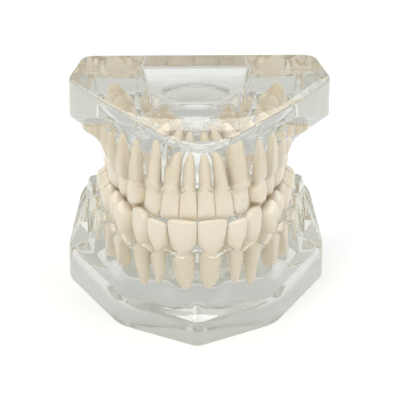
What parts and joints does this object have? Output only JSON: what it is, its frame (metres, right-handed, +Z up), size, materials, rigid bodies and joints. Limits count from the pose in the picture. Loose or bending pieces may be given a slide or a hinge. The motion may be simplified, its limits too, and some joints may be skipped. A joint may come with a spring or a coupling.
{
  "type": "typodont model",
  "caption": "Clear two-jaw dental study model standing inverted on its upper jaw: removable ivory teeth seated root-deep in sockets, and a lower jaw that lifts off.",
  "frame": {"origin": "centre of the maxillary foot, on the midline, where the model rests", "axes": "+Z up, +X towards the right side of the mouth (the model stands on its upper jaw and faces -Y), +Y towards the back of the jaws"},
  "size_m": [0.0753, 0.0575, 0.064],
  "materials": {
    "clear_resin": "polished, water-clear cast resin",
    "ivory_tooth": "satin-gloss tooth resin"
  },
  "bodies": {
    "maxilla": {"maxillary_base": "clear_resin"},
    "mandible": {"mandibular_base": "clear_resin"},
    "maxillary_right_central_incisor": {"maxillary_right_central_incisor": "ivory_tooth"},
    "maxillary_right_lateral_incisor": {"maxillary_right_lateral_incisor": "ivory_tooth"},
    "maxillary_right_canine": {"maxillary_right_canine": "ivory_tooth"},
    "maxillary_right_first_premolar": {"maxillary_right_first_premolar": "ivory_tooth"},
    "maxillary_right_second_premolar": {"maxillary_right_second_premolar": "ivory_tooth"},
    "maxillary_right_first_molar": {"maxillary_right_first_molar": "ivory_tooth"},
    "maxillary_right_second_molar": {"maxillary_right_second_molar": "ivory_tooth"},
    "maxillary_left_central_incisor": {"maxillary_left_central_incisor": "ivory_tooth"},
    "maxillary_left_lateral_incisor": {"maxillary_left_lateral_incisor": "ivory_tooth"},
    "maxillary_left_canine": {"maxillary_left_canine": "ivory_tooth"},
    "maxillary_left_first_premolar": {"maxillary_left_first_premolar": "ivory_tooth"},
    "maxillary_left_second_premolar": {"maxillary_left_second_premolar": "ivory_tooth"},
    "maxillary_left_first_molar": {"maxillary_left_first_molar": "ivory_tooth"},
    "maxillary_left_second_molar": {"maxillary_left_second_molar": "ivory_tooth"},
    "mandibular_right_central_incisor": {"mandibular_right_central_incisor": "ivory_tooth"},
    "mandibular_right_lateral_incisor": {"mandibular_right_lateral_incisor": "ivory_tooth"},
    "mandibular_right_canine": {"mandibular_right_canine": "ivory_tooth"},
    "mandibular_right_first_premolar": {"mandibular_right_first_premolar": "ivory_tooth"},
    "mandibular_right_second_premolar": {"mandibular_right_second_premolar": "ivory_tooth"},
    "mandibular_right_first_molar": {"mandibular_right_first_molar": "ivory_tooth"},
    "mandibular_right_second_molar": {"mandibular_right_second_molar": "ivory_tooth"},
    "mandibular_left_central_incisor": {"mandibular_left_central_incisor": "ivory_tooth"},
    "mandibular_left_lateral_incisor": {"mandibular_left_lateral_incisor": "ivory_tooth"},
    "mandibular_left_canine": {"mandibular_left_canine": "ivory_tooth"},
    "mandibular_left_first_premolar": {"mandibular_left_first_premolar": "ivory_tooth"},
    "mandibular_left_second_premolar": {"mandibular_left_second_premolar": "ivory_tooth"},
    "mandibular_left_first_molar": {"mandibular_left_first_molar": "ivory_tooth"},
    "mandibular_left_second_molar": {"mandibular_left_second_molar": "ivory_tooth"}
  },
  "joints": [
    {"name": "jaw_lift", "type": "slide", "parent": "maxilla", "child": "mandible", "axis": [0, 0, 1], "range_m": [0, 0.06]},
    {"name": "draw_maxillary_right_central_incisor", "type": "slide", "parent": "maxilla", "child": "maxillary_right_central_incisor", "axis": [0.0304, -0.1535, 0.9877], "range_m": [0, 0.018]},
    {"name": "draw_maxillary_right_lateral_incisor", "type": "slide", "parent": "maxilla", "child": "maxillary_right_lateral_incisor", "axis": [0.0599, -0.1486, 0.9871], "range_m": [0, 0.018]},
    {"name": "draw_maxillary_right_canine", "type": "slide", "parent": "maxilla", "child": "maxillary_right_canine", "axis": [0.0605, -0.0999, 0.9932], "range_m": [0, 0.018]},
    {"name": "draw_maxillary_right_first_premolar", "type": "slide", "parent": "maxilla", "child": "maxillary_right_first_premolar", "axis": [0.0409, -0.0478, 0.998], "range_m": [0, 0.018]},
    {"name": "draw_maxillary_right_second_premolar", "type": "slide", "parent": "maxilla", "child": "maxillary_right_second_premolar", "axis": [0.0293, -0.0323, 0.999], "range_m": [0, 0.018]},
    {"name": "draw_maxillary_right_first_molar", "type": "slide", "parent": "maxilla", "child": "maxillary_right_first_molar", "axis": [0.0145, -0.0199, 0.9997], "range_m": [0, 0.018]},
    {"name": "draw_maxillary_right_second_molar", "type": "slide", "parent": "maxilla", "child": "maxillary_right_second_molar", "axis": [0.0161, -0.0109, 0.9998], "range_m": [0, 0.018]},
    {"name": "draw_maxillary_left_central_incisor", "type": "slide", "parent": "maxilla", "child": "maxillary_left_central_incisor", "axis": [-0.0304, -0.1535, 0.9877], "range_m": [0, 0.018]},
    {"name": "draw_maxillary_left_lateral_incisor", "type": "slide", "parent": "maxilla", "child": "maxillary_left_lateral_incisor", "axis": [-0.0599, -0.1486, 0.9871], "range_m": [0, 0.018]},
    {"name": "draw_maxillary_left_canine", "type": "slide", "parent": "maxilla", "child": "maxillary_left_canine", "axis": [-0.0605, -0.0999, 0.9932], "range_m": [0, 0.018]},
    {"name": "draw_maxillary_left_first_premolar", "type": "slide", "parent": "maxilla", "child": "maxillary_left_first_premolar", "axis": [-0.0409, -0.0478, 0.998], "range_m": [0, 0.018]},
    {"name": "draw_maxillary_left_second_premolar", "type": "slide", "parent": "maxilla", "child": "maxillary_left_second_premolar", "axis": [-0.0293, -0.0323, 0.999], "range_m": [0, 0.018]},
    {"name": "draw_maxillary_left_first_molar", "type": "slide", "parent": "maxilla", "child": "maxillary_left_first_molar", "axis": [-0.0145, -0.0199, 0.9997], "range_m": [0, 0.018]},
    {"name": "draw_maxillary_left_second_molar", "type": "slide", "parent": "maxilla", "child": "maxillary_left_second_molar", "axis": [-0.0161, -0.0109, 0.9998], "range_m": [0, 0.018]},
    {"name": "draw_mandibular_right_central_incisor", "type": "slide", "parent": "mandible", "child": "mandibular_right_central_incisor", "axis": [0.0296, -0.3242, -0.9455], "range_m": [0, 0.018]},
    {"name": "draw_mandibular_right_lateral_incisor", "type": "slide", "parent": "mandible", "child": "mandibular_right_lateral_incisor", "axis": [0.1249, -0.2831, -0.9509], "range_m": [0, 0.018]},
    {"name": "draw_mandibular_right_canine", "type": "slide", "parent": "mandible", "child": "mandibular_right_canine", "axis": [0.1335, -0.1674, -0.9768], "range_m": [0, 0.018]},
    {"name": "draw_mandibular_right_first_premolar", "type": "slide", "parent": "mandible", "child": "mandibular_right_first_premolar", "axis": [0.0499, -0.0653, -0.9966], "range_m": [0, 0.018]},
    {"name": "draw_mandibular_right_second_premolar", "type": "slide", "parent": "mandible", "child": "mandibular_right_second_premolar", "axis": [-0.0082, -0.0339, -0.9994], "range_m": [0, 0.018]},
    {"name": "draw_mandibular_right_first_molar", "type": "slide", "parent": "mandible", "child": "mandibular_right_first_molar", "axis": [-0.0717, -0.0055, -0.9974], "range_m": [0, 0.018]},
    {"name": "draw_mandibular_right_second_molar", "type": "slide", "parent": "mandible", "child": "mandibular_right_second_molar", "axis": [-0.0863, 0.0119, -0.9962], "range_m": [0, 0.018]},
    {"name": "draw_mandibular_left_central_incisor", "type": "slide", "parent": "mandible", "child": "mandibular_left_central_incisor", "axis": [-0.0296, -0.3242, -0.9455], "range_m": [0, 0.018]},
    {"name": "draw_mandibular_left_lateral_incisor", "type": "slide", "parent": "mandible", "child": "mandibular_left_lateral_incisor", "axis": [-0.1249, -0.2831, -0.9509], "range_m": [0, 0.018]},
    {"name": "draw_mandibular_left_canine", "type": "slide", "parent": "mandible", "child": "mandibular_left_canine", "axis": [-0.1335, -0.1674, -0.9768], "range_m": [0, 0.018]},
    {"name": "draw_mandibular_left_first_premolar", "type": "slide", "parent": "mandible", "child": "mandibular_left_first_premolar", "axis": [-0.0499, -0.0653, -0.9966], "range_m": [0, 0.018]},
    {"name": "draw_mandibular_left_second_premolar", "type": "slide", "parent": "mandible", "child": "mandibular_left_second_premolar", "axis": [0.0082, -0.0339, -0.9994], "range_m": [0, 0.018]},
    {"name": "draw_mandibular_left_first_molar", "type": "slide", "parent": "mandible", "child": "mandibular_left_first_molar", "axis": [0.0717, -0.0055, -0.9974], "range_m": [0, 0.018]},
    {"name": "draw_mandibular_left_second_molar", "type": "slide", "parent": "mandible", "child": "mandibular_left_second_molar", "axis": [0.0863, 0.0119, -0.9962], "range_m": [0, 0.018]}
  ],
  "couplings": [
    {"joint": "draw_maxillary_right_central_incisor", "follows": "jaw_lift", "ratio": 0.3},
    {"joint": "draw_maxillary_right_lateral_incisor", "follows": "jaw_lift", "ratio": 0.3},
    {"joint": "draw_maxillary_right_canine", "follows": "jaw_lift", "ratio": 0.3},
    {"joint": "draw_maxillary_right_first_premolar", "follows": "jaw_lift", "ratio": 0.3},
    {"joint": "draw_maxillary_right_second_premolar", "follows": "jaw_lift", "ratio": 0.3},
    {"joint": "draw_maxillary_right_first_molar", "follows": "jaw_lift", "ratio": 0.3},
    {"joint": "draw_maxillary_right_second_molar", "follows": "jaw_lift", "ratio": 0.3},
    {"joint": "draw_maxillary_left_central_incisor", "follows": "jaw_lift", "ratio": 0.3},
    {"joint": "draw_maxillary_left_lateral_incisor", "follows": "jaw_lift", "ratio": 0.3},
    {"joint": "draw_maxillary_left_canine", "follows": "jaw_lift", "ratio": 0.3},
    {"joint": "draw_maxillary_left_first_premolar", "follows": "jaw_lift", "ratio": 0.3},
    {"joint": "draw_maxillary_left_second_premolar", "follows": "jaw_lift", "ratio": 0.3},
    {"joint": "draw_maxillary_left_first_molar", "follows": "jaw_lift", "ratio": 0.3},
    {"joint": "draw_maxillary_left_second_molar", "follows": "jaw_lift", "ratio": 0.3},
    {"joint": "draw_mandibular_right_central_incisor", "follows": "jaw_lift", "ratio": 0.3},
    {"joint": "draw_mandibular_right_lateral_incisor", "follows": "jaw_lift", "ratio": 0.3},
    {"joint": "draw_mandibular_right_canine", "follows": "jaw_lift", "ratio": 0.3},
    {"joint": "draw_mandibular_right_first_premolar", "follows": "jaw_lift", "ratio": 0.3},
    {"joint": "draw_mandibular_right_second_premolar", "follows": "jaw_lift", "ratio": 0.3},
    {"joint": "draw_mandibular_right_first_molar", "follows": "jaw_lift", "ratio": 0.3},
    {"joint": "draw_mandibular_right_second_molar", "follows": "jaw_lift", "ratio": 0.3},
    {"joint": "draw_mandibular_left_central_incisor", "follows": "jaw_lift", "ratio": 0.3},
    {"joint": "draw_mandibular_left_lateral_incisor", "follows": "jaw_lift", "ratio": 0.3},
    {"joint": "draw_mandibular_left_canine", "follows": "jaw_lift", "ratio": 0.3},
    {"joint": "draw_mandibular_left_first_premolar", "follows": "jaw_lift", "ratio": 0.3},
    {"joint": "draw_mandibular_left_second_premolar", "follows": "jaw_lift", "ratio": 0.3},
    {"joint": "draw_mandibular_left_first_molar", "follows": "jaw_lift", "ratio": 0.3},
    {"joint": "draw_mandibular_left_second_molar", "follows": "jaw_lift", "ratio": 0.3}
  ]
}
